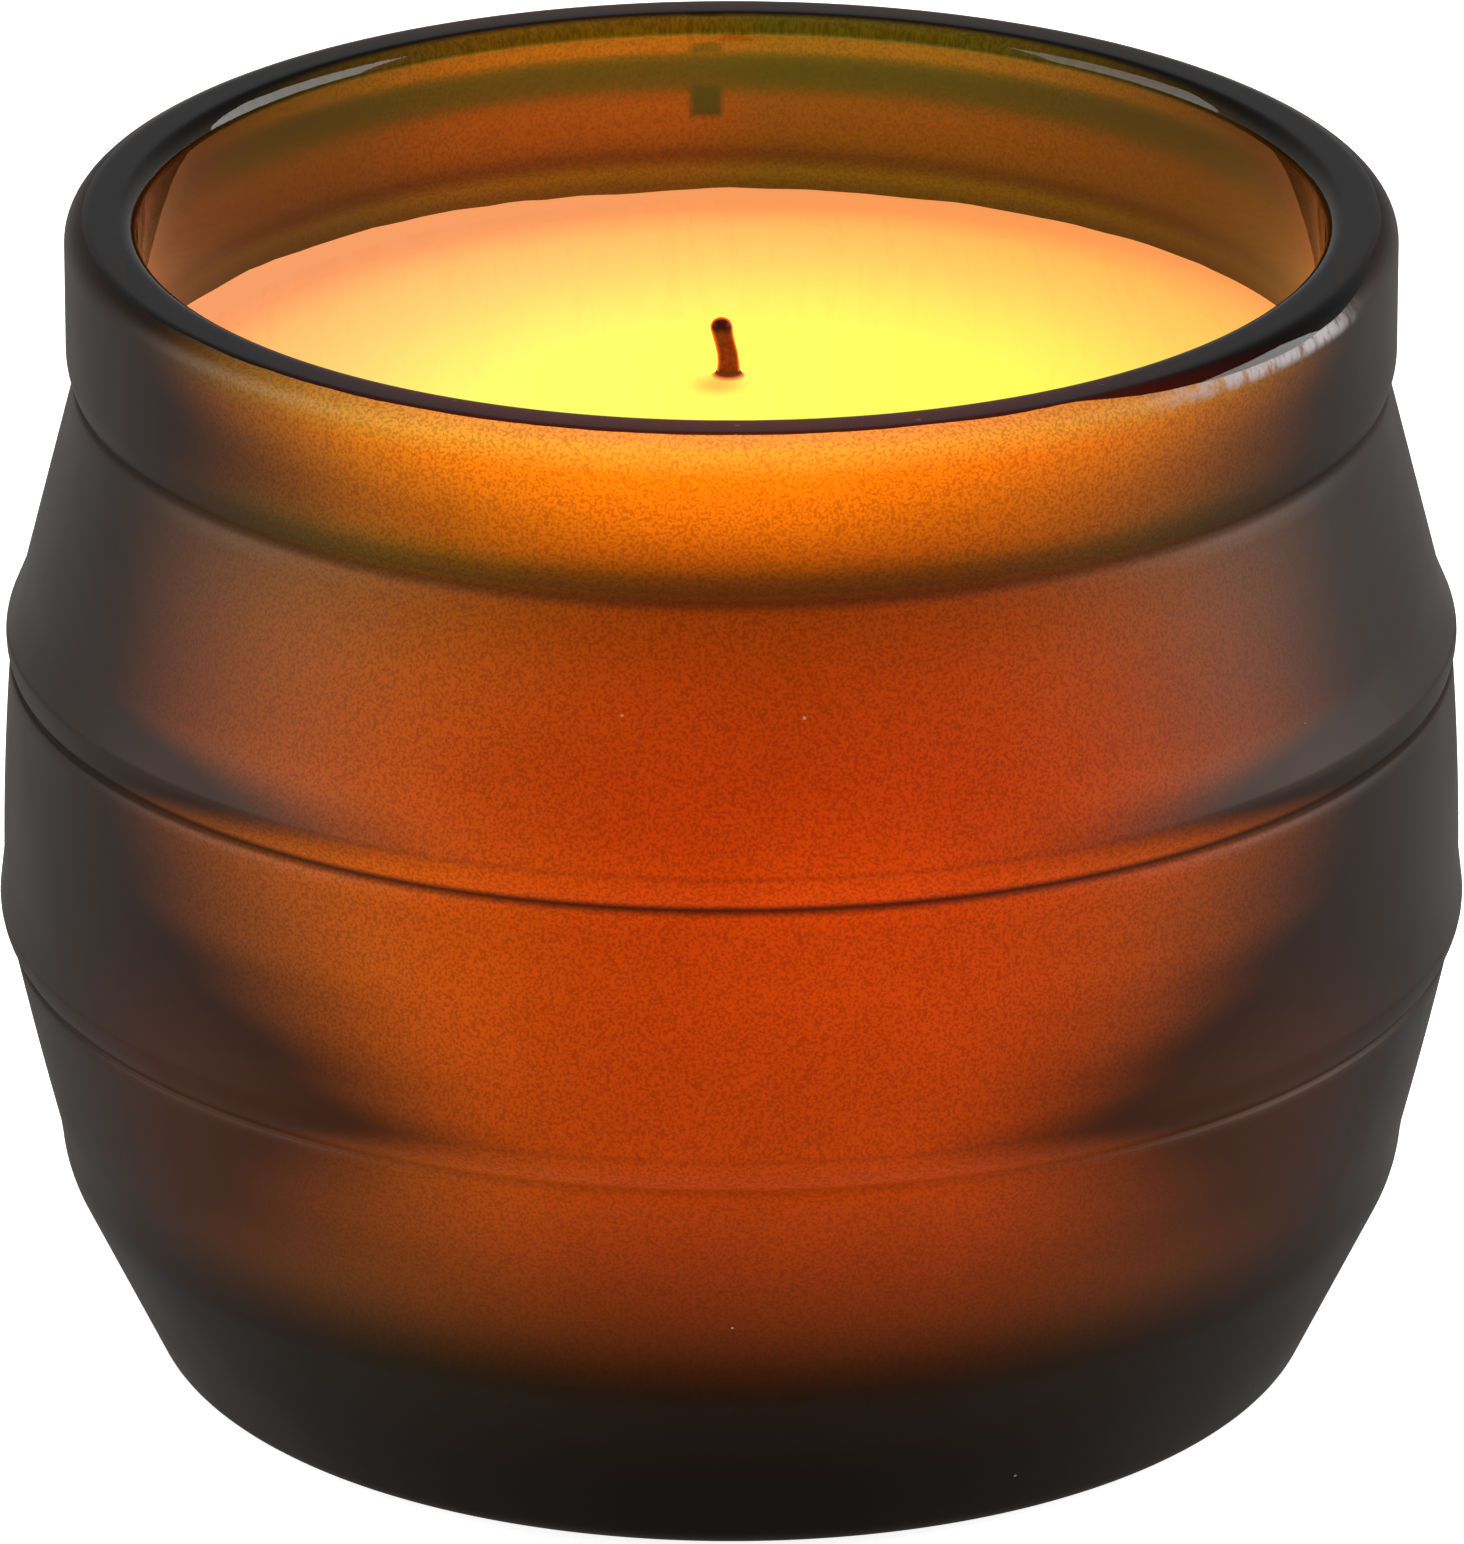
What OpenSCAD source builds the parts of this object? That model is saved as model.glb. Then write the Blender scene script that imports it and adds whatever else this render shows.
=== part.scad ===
// Filled candle jar: barrel-shaped glass with three soft hoops, a poured wax
// fill, and a cored wick held upright by a metal tab stuck to the glass floor.
// Origin: centre of the face it stands on. +Z up, front towards -Y.

/* [Jar] */
// Height from the standing face to the top of the lip
jar_h = 81.2; // [81:0.1:84]
// Diameter over the widest hoop
belly_d = 100.1; // [99.5:0.1:101]
// Outer diameter of the collar and rim
rim_d = 90; // [89.5:0.1:90.5]
// Wall thickness at the rim
rim_wall = 4.9; // [4.5:0.1:5.2]
// Radius of the lip's inner corner
lip_in_r = 1.3; // [1:0.1:1.5]
// Radius of the lip's outer corner
lip_out_r = 1.8; // [1.4:0.1:2.2]
// Height of the glass floor inside
floor_z = 9.5; // [8.5:0.1:10]
// Width of the flat ring it stands on
stand_w = 6.3; // [4:0.1:8]
// Depth of the domed hollow under the base
punt_depth = 1.6; // [1:0.1:2.5]

/* [Hoops] */
// Height of the crease under the collar
collar_z = 69.6; // [69.4:0.1:70]
// Distance from one crease down to the next
hoop_pitch = 19.8; // [19.7:0.1:20]
// Diameter over the crest of the upper hoop
upper_hoop_d = 98.7; // [98.5:0.1:98.9]
// Diameter over the crest of the foot hoop
foot_hoop_d = 92.2; // [92:0.1:92.4]
// Height of the groove at a crease
groove = 0.3; // [0.2:0.05:0.4]

/* [Wax] */
// Height of the wax surface over the standing face
fill_z = 68.1; // [66:0.1:68.5]
// How far the wax climbs the glass at its edge
wax_climb = 0.6; // [0.3:0.1:1]

/* [Wick] */
// Diameter of the waxed cotton braid
wick_d = 1.6; // [1.4:0.1:2]
// Diameter of the paper core inside the braid
core_d = 0.6; // [0.5:0.1:0.7]
// Length of wick that stands out of the wax
wick_out = 4.2; // [3:0.1:6]
// How far the wick stands behind the jar's axis
wick_back = 3; // [0:0.1:4]

/* [Wick tab] */
// Diameter of the metal tab and of the sticker under it
tab_d = 20; // [16:0.5:24]
// Thickness of the tab's sheet
tab_t = 0.3; // [0.2:0.05:0.4]
// Height of the crimped neck over the tab's disc
neck_h = 6; // [4:0.5:8]
// Thickness of the foam sticker
sticker_t = 0.8; // [0.5:0.1:1]

/* [Hidden] */
$fn = 96;

// Outside, from the top: lip, collar, widening cone, upper hoop, belly, middle hoop,
// narrowing cone, foot hoop, foot, heel.
rim_r = rim_d / 2;
belly_r = belly_d / 2;
upper_hoop_r = upper_hoop_d / 2;
foot_hoop_r = foot_hoop_d / 2;
mouth_r = rim_r - rim_wall;
upper_z = collar_z - hoop_pitch;
lower_z = upper_z - hoop_pitch;
foot_z = lower_z - hoop_pitch;

collar_under_r = 4.5;
collar_turn = 32;
cone_top_r = rim_r - 0.5;
cone_foot = [upper_hoop_r - 1.1, upper_z + 4.9];
upper_crest_z = upper_z + 1.8;
upper_over_r = 2.4;
upper_flank = 20;
belly_top = [upper_hoop_r - 0.22, upper_z - groove];
belly_foot = [belly_r - 0.31, lower_z + 5.4];
belly_bow = 0.12;
lower_crest_z = lower_z + 2.6;
lower_over_r = 3;
lower_flank = 8;
under_r = 3.6;
taper_top = [belly_r - 0.83, lower_z - groove];
taper_foot = [foot_hoop_r + 0.2, foot_z + 6.9];
taper_bow = 0.06;
foot_round_r = 8.3;
foot_crest_z = foot_z + 6;
foot_slope = 25.6;
heel_r = 2.4;

// The heel's round touches the foot's straight cone and the standing face.
foot_top = [foot_hoop_r - foot_round_r * (1 - cos(foot_slope)),
            foot_crest_z - foot_round_r * sin(foot_slope)];
heel_c = [foot_top[0] - (heel_r + (foot_top[1] - heel_r) * sin(foot_slope)) / cos(foot_slope),
          heel_r];
stand_in_r = heel_c[0] - stand_w;
punt_r = (stand_in_r * stand_in_r + punt_depth * punt_depth) / (2 * punt_depth);

// Inside: an upright mouth, a widening cone, a barrel and a round corner to a flat floor.
mouth_straight = 6.4;
shoulder_z = jar_h - lip_in_r - mouth_straight;
shoulder_angle = 8.7;
barrel_top_z = 52;
barrel_round_r = 74;
low_angle = 11.5;
corner_r = 14;
barrel_top_r = mouth_r + (shoulder_z - barrel_top_z) * tan(shoulder_angle);
barrel_c = [barrel_top_r - barrel_round_r * cos(shoulder_angle),
            barrel_top_z - barrel_round_r * sin(shoulder_angle)];
low_end = barrel_c + barrel_round_r * [cos(low_angle), -sin(low_angle)];
corner_c = [low_end[0] - (low_end[1] - floor_z - corner_r) * tan(low_angle)
            - corner_r / cos(low_angle), floor_z + corner_r];
climb_r = shoulder_r(fill_z + wax_climb);

wick_r = wick_d / 2;
wick_foot_z = floor_z + sticker_t;
wick_top_z = fill_z + wick_out;
core_r = core_d / 2;
core_short = 0.7;
neck_r = wick_r + tab_t;
flare_r = 3.4;
flare_h = 1.8;

// Radius of the inner cone under the mouth, at height z.
function shoulder_r(z) = mouth_r + (shoulder_z - z) * tan(shoulder_angle);

// Points along an arc about c, from angle a0 to angle a1 in n steps.
function arc(c, r, a0, a1, n) = [for (i = [0 : n])
    let (a = a0 + (a1 - a0) * i / n) c + r * [cos(a), sin(a)]];

// Points from p to q that bulge outwards by bow at the middle.
function bowed(p, q, bow, n) = [for (i = [0 : n])
    let (t = i / n) p + (q - p) * t + [4 * bow * t * (1 - t), 0]];

// A hoop, from its flank over the crest down to the crease under it.
function hoop(crest_r, crest_z, over_r, flank, drop) = concat(
    arc([crest_r - over_r, crest_z], over_r, flank, 0, 4),
    arc([crest_r - under_r, crest_z], under_r, -8, -asin(drop / under_r), 6));

// The outer face of the glass, from the collar down to the standing ring.
function outside() = concat(
    arc([rim_r - collar_under_r, collar_z + collar_under_r * sin(collar_turn)],
        collar_under_r, 0, -collar_turn, 6),
    [[cone_top_r, collar_z - groove], cone_foot],
    hoop(upper_hoop_r, upper_crest_z, upper_over_r, upper_flank, upper_crest_z - upper_z),
    bowed(belly_top, belly_foot, belly_bow, 6),
    hoop(belly_r, lower_crest_z, lower_over_r, lower_flank, lower_crest_z - lower_z),
    bowed(taper_top, taper_foot, taper_bow, 4),
    arc([foot_hoop_r - foot_round_r, foot_crest_z], foot_round_r, -4, -foot_slope, 6),
    arc(heel_c, heel_r, -foot_slope, -90, 6));

// The inner face of the glass, from the floor's centre up to the cone under the mouth.
function inside() = concat(
    [[0, floor_z]],
    arc(corner_c, corner_r, -90, -low_angle, 12),
    arc(barrel_c, barrel_round_r, -low_angle, shoulder_angle, 10));

function reversed(points) = [for (i = [len(points) - 1 : -1 : 0]) points[i]];

module glass_jar() {
    color("saddlebrown")
        rotate_extrude()
            polygon(concat(
                inside(),
                [[mouth_r, shoulder_z]],
                arc([mouth_r + lip_in_r, jar_h - lip_in_r], lip_in_r, 180, 90, 10),
                arc([rim_r - lip_out_r, jar_h - lip_out_r], lip_out_r, 90, 0, 10),
                outside(),
                arc([0, punt_depth - punt_r], punt_r, 90 - asin(stand_in_r / punt_r), 90, 8)));
}

module wax_fill() {
    color("moccasin")
        difference() {
            rotate_extrude()
                polygon(concat(
                    inside(),
                    arc([climb_r - wax_climb, fill_z + wax_climb], wax_climb, 0, -90, 6),
                    [[0, fill_z]]));
            translate([0, wick_back, 0])
                wick_way();
        }
}

// The room that the wax leaves for the sticker, the tab and the wick.
module wick_way() {
    rotate_extrude()
        polygon([[0, floor_z - 1], [tab_d / 2, floor_z - 1],
                 [tab_d / 2, wick_foot_z + tab_t], [flare_r, wick_foot_z + tab_t],
                 [neck_r, wick_foot_z + flare_h], [neck_r, wick_foot_z + neck_h],
                 [wick_r, wick_foot_z + neck_h], [wick_r, jar_h], [0, jar_h]]);
}

// Cotton braid from the sticker to the burnt tip.
module wick_braid() {
    color("saddlebrown")
        translate([0, wick_back, 0])
            rotate_extrude()
                polygon(concat(
                    [[core_r, wick_foot_z], [wick_r, wick_foot_z]],
                    arc([0, wick_top_z - wick_r], wick_r, 0, 90, 8),
                    [[0, wick_top_z - core_short], [core_r, wick_top_z - core_short]]));
}

module wick_core() {
    color("linen")
        translate([0, wick_back, wick_foot_z])
            cylinder(h = wick_top_z - core_short - wick_foot_z, r = core_r);
}

// One stamping: a flat disc, a flare and a neck crimped onto the wick.
module wick_sustainer() {
    color("silver")
        translate([0, wick_back, wick_foot_z])
            rotate_extrude()
                polygon([[tab_d / 2, 0], [tab_d / 2, tab_t], [flare_r, tab_t],
                         [neck_r, flare_h], [neck_r, neck_h],
                         [wick_r, neck_h], [wick_r, flare_h - tab_t], [flare_r - tab_t, 0]]);
}

module wick_sticker() {
    color("white")
        translate([0, wick_back, floor_z])
            cylinder(h = sticker_t, d = tab_d);
}

glass_jar();
wax_fill();
wick_braid();
wick_core();
wick_sustainer();
wick_sticker();
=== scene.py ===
import math

import bmesh
import bpy
from mathutils import Matrix, Vector, noise


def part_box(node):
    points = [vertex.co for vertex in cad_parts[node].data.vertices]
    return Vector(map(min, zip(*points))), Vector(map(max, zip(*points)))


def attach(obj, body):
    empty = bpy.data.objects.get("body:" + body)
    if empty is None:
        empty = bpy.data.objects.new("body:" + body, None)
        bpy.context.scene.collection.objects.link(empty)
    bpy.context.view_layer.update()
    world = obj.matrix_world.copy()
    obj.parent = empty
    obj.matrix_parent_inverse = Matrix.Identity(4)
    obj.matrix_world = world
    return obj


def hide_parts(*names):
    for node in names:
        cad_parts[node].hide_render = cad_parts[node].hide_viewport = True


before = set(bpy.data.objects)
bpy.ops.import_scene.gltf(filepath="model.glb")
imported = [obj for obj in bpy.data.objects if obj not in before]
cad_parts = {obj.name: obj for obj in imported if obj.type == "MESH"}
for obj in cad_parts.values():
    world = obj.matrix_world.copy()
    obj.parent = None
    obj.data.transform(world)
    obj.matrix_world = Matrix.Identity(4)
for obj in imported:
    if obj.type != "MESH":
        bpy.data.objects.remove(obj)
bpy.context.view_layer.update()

bl_info = {
    "name": "Amber glass candle",
    "version": (1, 0, 0),
    "blender": (4, 5, 0),
    "location": "View3D > Sidebar > Candle",
    "description": "Builds a poured candle in a hooped amber glass jar, with its wick and a studio",
    "category": "Add Mesh",
}

MM = 0.001
TAU = 2 * math.pi

# What the frame says: the jar, its wax and its wick.
_, JAR_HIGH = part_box("glass_jar")
_, WAX_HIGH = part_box("wax_fill")
WICK_LOW, WICK_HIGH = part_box("wick_braid")
_, TAB_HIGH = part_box("wick_sustainer")
STICKER_LOW, STICKER_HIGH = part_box("wick_sticker")
CORE_LOW, CORE_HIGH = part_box("wick_core")

JAR_HEIGHT = JAR_HIGH.z
BELLY_R = JAR_HIGH.y
FLOOR_Z = STICKER_LOW.z
WICK_Y = (WICK_LOW.y + WICK_HIGH.y) / 2
WICK_R = (WICK_HIGH.y - WICK_LOW.y) / 2
TAB_R = (STICKER_HIGH.y - STICKER_LOW.y) / 2
CORE_R = (CORE_HIGH.y - CORE_LOW.y) / 2
# The wax climbs the glass, so its flat top lies this far under its highest edge.
FILL_Z = WAX_HIGH.z - 0.6 * MM


# ---------------------------------------------------------------- settings

def length(name, description, millimetres):
    return bpy.props.FloatProperty(
        name=name, description=description, default=millimetres * MM,
        min=0.0, subtype="DISTANCE", unit="LENGTH", precision=5,
    )


def angle(name, description, degrees):
    return bpy.props.FloatProperty(
        name=name, description=description, default=math.radians(degrees),
        subtype="ANGLE", unit="ROTATION",
    )


def share(name, description, default):
    return bpy.props.FloatProperty(
        name=name, description=description, default=default,
        min=0.0, soft_max=1.0, subtype="FACTOR",
    )


def colour(name, description, red, green, blue):
    return bpy.props.FloatVectorProperty(
        name=name, description=description, default=(red, green, blue),
        size=3, min=0.0, soft_max=1.0, subtype="COLOR",
    )


class GlassSettings(bpy.types.PropertyGroup):
    rim_r: length("Rim radius", "Outer radius of the collar and rim", 45)
    rim_wall: length("Rim wall", "Thickness of the glass at the rim", 4.9)
    lip_in_r: length("Inner lip", "Radius of the lip's inner corner", 1.3)
    lip_out_r: length("Outer lip", "Radius of the lip's outer corner", 1.8)
    upright: length("Upright mouth", "Height of the upright glass under the lip", 6.4)
    hoop_pitch: length("Hoop pitch", "Distance from one crease to the next", 19.8)
    collar_drop: length("Collar", "From the top of the lip to the crease under the collar", 11.6)
    upper_hoop_r: length("Upper hoop", "Radius over the crest of the upper hoop", 49.35)
    foot_hoop_r: length("Foot hoop", "Radius over the crest of the foot hoop", 46.1)
    stand_w: length("Standing ring", "Width of the flat ring it stands on", 6.3)
    punt: length("Punt", "Depth of the hollow under the base", 1.6)
    coat_angle: angle("Coat edge", "Where the frost starts on the lip, over the horizontal", 72)
    clear_tint: colour("Clear glass", "Colour that the clear glass lets through", 0.78, 0.55, 0.10)
    lip_tint: colour("Lip", "Tint of the round inside the lip", 0.12, 0.55, 0.9)
    density: bpy.props.FloatProperty(
        name="Density", description="How fast the glass darkens with depth, per metre",
        default=890.0, min=0.0)
    coat_base: colour("Frosted glass", "Body colour of the frosted face", 0.005, 0.002, 0.0008)
    sheen: colour("Frost sheen", "Tint of what the frost mirrors face on", 1.0, 0.76, 0.66)
    # Painted highlight: the pale colour of the frost's upper edge where the lights mirror in it.
    rim_highlight: colour("Highlight", "Colour of the highlit frost", 0.36, 0.34, 0.36)
    coat_roughness: share("Frost roughness", "Roughness of the frosted face", 0.42)


class WaxSettings(bpy.types.PropertyGroup):
    climb: length("Climb", "How far the wax climbs the glass", 0.2)
    wick_climb: length("Climb at the wick", "How far the wax climbs the wick", 0.45)
    heart: colour("Heart", "Glow at the heart of the wax", 1.05, 1.0, 0.13)
    ring: colour("Ring", "Glow two thirds of the way out", 1.03, 0.63, 0.14)
    edge: colour("Edge", "Glow at the back edge", 0.98, 0.33, 0.10)
    body: colour("Body", "Colour of the wax itself", 0.04, 0.025, 0.015)


class WickSettings(bpy.types.PropertyGroup):
    strands: bpy.props.IntProperty(
        name="Strands", description="Strands that wind each way", default=4, min=2, max=8)
    pitch: length("Pitch", "Height of one full turn of a strand", 6.2)
    lean: length("Lean", "How far the burnt tip leans aside", 0.48)
    aside: length("Aside", "How far the end stands to the left of the middle", 0.2)
    # The cotton colour is also the wick's painted glow.
    cotton: colour("Cotton", "Colour of the waxed cotton", 0.27, 0.024, 0.002)
    burnt: colour("Burnt tip", "Colour of the burnt tip", 0.024, 0.004, 0.002)
    rim: colour("Lit rim", "Light that the waxed cotton lets through at its sides", 1.0, 0.10, 0.0)


class StudioSettings(bpy.types.PropertyGroup):
    elevation: angle("Camera elevation", "Height of the camera over the horizon", 21.63)
    distance: length("Camera distance", "From the camera to its aim on the jar's axis", 1096.6)
    aim: length("Camera aim", "Height of the camera's aim on the jar's axis", 38.25)
    lens: bpy.props.FloatProperty(
        name="Lens", description="Focal length, in millimetres", default=373.8, min=1.0)
    shift_x: bpy.props.FloatProperty(
        name="Shift aside", description="Lens shift to the side", default=0.0004, precision=4)
    shift_y: bpy.props.FloatProperty(
        name="Shift up", description="Lens shift upwards", default=0.0187, precision=4)
    floor_r: length("Floor", "Radius of the pale floor", 6000)


# ---------------------------------------------------------------- mesh tools

class Outline:
    """A pen that draws half a section in the XZ plane, then turns it about the Z axis."""

    def __init__(self, mesh, x, z):
        self.mesh = mesh
        self.old_faces = set(mesh.faces)
        self.tip = mesh.verts.new((x, 0, z))
        self.parts = [self.tip]

    def line(self, x, z, steps=1):
        """Draws a straight stretch to a point."""
        start = self.tip.co.copy()
        end = Vector((x, 0, z))
        for step in range(1, steps + 1):
            grown = bmesh.ops.extrude_vert_indiv(self.mesh, verts=[self.tip])
            self.tip = grown["verts"][0]
            self.tip.co = start.lerp(end, step / steps)
            self.parts += grown["edges"] + grown["verts"]

    def arc(self, x, z, turn, steps):
        """Draws an arc about a centre; a positive turn is anticlockwise in the section."""
        before = set(self.mesh.verts) | set(self.mesh.edges)
        grown = bmesh.ops.spin(
            self.mesh, geom=[self.tip], cent=(x, 0, z), axis=(0, -1, 0),
            angle=turn, steps=steps,
        )
        self.tip = grown["geom_last"][0]
        self.parts += [part for part in self.mesh.verts if part not in before]
        self.parts += [part for part in self.mesh.edges if part not in before]

    def bow(self, x, z, rise, steps):
        """Draws a shallow arc to a point, which bulges away from the axis by rise."""
        start = self.tip.co.copy()
        end = Vector((x, 0, z))
        chord = end - start
        out = Vector((-chord.z, 0, chord.x)).normalized()
        if out.x < 0:
            out.negate()
        radius = chord.length_squared / (8 * rise) + rise / 2
        centre = (start + end) / 2 + out * (rise - radius)
        a = start - centre
        b = end - centre
        turn = math.atan2(a.x * b.z - a.z * b.x, a.x * b.x + a.z * b.z)
        self.arc(centre.x, centre.z, turn, steps)

    def turn(self, segments):
        """Spins the outline all the way round and returns the faces it makes."""
        bmesh.ops.spin(
            self.mesh, geom=self.parts, cent=(0, 0, 0), axis=(0, 0, 1),
            angle=TAU, steps=segments, use_merge=True,
        )
        return [face for face in self.mesh.faces if face not in self.old_faces]


def rings(mesh, sections, segments):
    """Stacks circles, each a (centre y, radius, height), and bridges each to the next."""
    made = []
    for centre_y, radius, height in sections:
        circle = bmesh.ops.create_circle(
            mesh, segments=segments, radius=radius,
            matrix=Matrix.Translation((0, centre_y, height)),
        )
        made.append(sorted({edge for vert in circle["verts"] for edge in vert.link_edges},
                           key=lambda edge: edge.index))
    for above, below in zip(made, made[1:]):
        bmesh.ops.bridge_loops(mesh, edges=above + below)
    return made


def arc_rings(centre_y, x, z, radius, start, end, steps):
    """Sections along an arc about (x, z), without its first point. Angles are in degrees."""
    sections = []
    for step in range(1, steps + 1):
        a = math.radians(start + (end - start) * step / steps)
        sections.append((centre_y, x + radius * math.cos(a), z + radius * math.sin(a)))
    return sections


def finish_piece(mesh, name, materials, slot, *nodes):
    """Turns a bmesh into a smooth object that rides on the jar and stands for CAD nodes."""
    bmesh.ops.remove_doubles(mesh, verts=mesh.verts, dist=0.002 * MM)
    bmesh.ops.recalc_face_normals(mesh, faces=mesh.faces)
    for face in mesh.faces:
        face.smooth = True
    data = bpy.data.meshes.new(name)
    mesh.to_mesh(data)
    mesh.free()
    piece = bpy.data.objects.new(name, data)
    bpy.context.collection.objects.link(piece)
    for material in materials:
        data.materials.append(material)
    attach(piece, "root")
    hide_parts(*nodes)
    return piece


# ---------------------------------------------------------------- node tools

def add(tree, kind, inputs=None, **settings):
    """Adds a node, sets its options, and links or fills its inputs."""
    made = tree.nodes.new(kind)
    for option, value in settings.items():
        setattr(made, option, value)
    for socket, value in (inputs or {}).items():
        if isinstance(value, bpy.types.NodeSocket):
            tree.links.new(value, made.inputs[socket])
        else:
            made.inputs[socket].default_value = value
    return made


def calc(tree, operation, *values, clamp=False):
    """A Math node's result."""
    made = add(tree, "ShaderNodeMath", dict(enumerate(values)),
               operation=operation, use_clamp=clamp)
    return made.outputs[0]


def fade(tree, value, start, end, low=0.0, high=1.0):
    """Goes smoothly from low to high as value goes from start to end."""
    made = add(tree, "ShaderNodeMapRange", {
        "Value": value, "From Min": start, "From Max": end, "To Min": low, "To Max": high,
    }, interpolation_type="SMOOTHSTEP")
    return made.outputs["Result"]


def ramp(tree, value, stops, interpolation="LINEAR"):
    """A Color Ramp with stops of (place, colour)."""
    made = add(tree, "ShaderNodeValToRGB", {"Fac": value})
    band = made.color_ramp
    band.interpolation = interpolation
    band.elements[0].position, band.elements[0].color = stops[0]
    band.elements[1].position, band.elements[1].color = stops[-1]
    for place, tint in stops[1:-1]:
        band.elements.new(place).color = tint
    return made.outputs["Color"]


def mixed(tree, factor, first, second, blend="MIX"):
    """A colour Mix node's result."""
    made = add(tree, "ShaderNodeMix", data_type="RGBA", blend_type=blend)
    made.clamp_factor = True
    for socket, value in ((0, factor), (6, first), (7, second)):
        if isinstance(value, bpy.types.NodeSocket):
            tree.links.new(value, made.inputs[socket])
        elif isinstance(value, (int, float)):
            made.inputs[socket].default_value = value
        else:
            made.inputs[socket].default_value = (*value[:3], 1.0)
    return made.outputs[2]


def tinted(tree, tint, factor):
    """A colour multiplied by a number that changes over the surface."""
    return add(tree, "ShaderNodeVectorMath", {0: tint, "Scale": factor},
               operation="SCALE").outputs["Vector"]


def new_group(name, inputs, outputs):
    """A shader node group with float inputs (name: default) and named outputs."""
    tree = bpy.data.node_groups.new(name, "ShaderNodeTree")
    tree.interface.new_socket("Vector", in_out="INPUT", socket_type="NodeSocketVector")
    for socket, value in inputs.items():
        made = tree.interface.new_socket(socket, in_out="INPUT", socket_type="NodeSocketFloat")
        made.default_value = value
    for socket in outputs:
        tree.interface.new_socket(socket, in_out="OUTPUT", socket_type="NodeSocketFloat")
    start = tree.nodes.new("NodeGroupInput")
    end = tree.nodes.new("NodeGroupOutput")
    return tree, start.outputs, end.inputs


def grain_group():
    """Fine speckle: Light is 1 on the bare surface and lower on each grain."""
    tree, given, wanted = new_group("Grain", {"Scale": 3000.0, "Depth": 0.2}, ["Light", "Height"])
    fine = add(tree, "ShaderNodeTexNoise", {
        "Vector": given["Vector"], "Scale": given["Scale"], "Detail": 2.0, "Roughness": 0.6})
    dark = fade(tree, fine.outputs["Fac"], 0.58, 0.38)
    tree.links.new(calc(tree, "SUBTRACT", 1.0, calc(tree, "MULTIPLY", dark, given["Depth"])),
                   wanted["Light"])
    tree.links.new(fine.outputs["Fac"], wanted["Height"])
    return tree


def dust_group():
    """Sparse pale specks: Mask is 1 on a speck."""
    tree, given, wanted = new_group("Dust", {"Scale": 900.0, "Size": 0.12, "Cover": 0.2}, ["Mask"])
    cells = add(tree, "ShaderNodeTexVoronoi", {
        "Vector": given["Vector"], "Scale": given["Scale"], "Randomness": 1.0})
    speck = calc(tree, "LESS_THAN", cells.outputs["Distance"], given["Size"])
    chosen = calc(tree, "LESS_THAN",
                  add(tree, "ShaderNodeSeparateColor",
                      {"Color": cells.outputs["Color"]}).outputs["Red"],
                  given["Cover"])
    tree.links.new(calc(tree, "MULTIPLY", speck, chosen), wanted["Mask"])
    return tree


def use_group(tree, group, vector, **values):
    """Places a shared effect in a material."""
    made = add(tree, "ShaderNodeGroup", node_tree=group)
    tree.links.new(vector, made.inputs["Vector"])
    for socket, value in values.items():
        made.inputs[socket].default_value = value
    return made.outputs


def new_material(name):
    """A material with only a Principled BSDF, its tree and its object coordinates."""
    material = bpy.data.materials.new(name)
    material.use_nodes = True
    tree = material.node_tree
    tree.nodes.clear()
    shader = add(tree, "ShaderNodeBsdfPrincipled")
    add(tree, "ShaderNodeOutputMaterial", {"Surface": shader.outputs["BSDF"]})
    place = add(tree, "ShaderNodeTexCoord").outputs["Object"]
    return material, tree, shader, place


def shared(name, build):
    """A node group that is made once."""
    return bpy.data.node_groups.get(name) or build()


# ---------------------------------------------------------------- materials

def heights(*stops):
    """Stops given in millimetres over the standing face, as shares of the jar's height."""
    return [(z * MM / JAR_HEIGHT, tint) for z, tint in stops]


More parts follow.
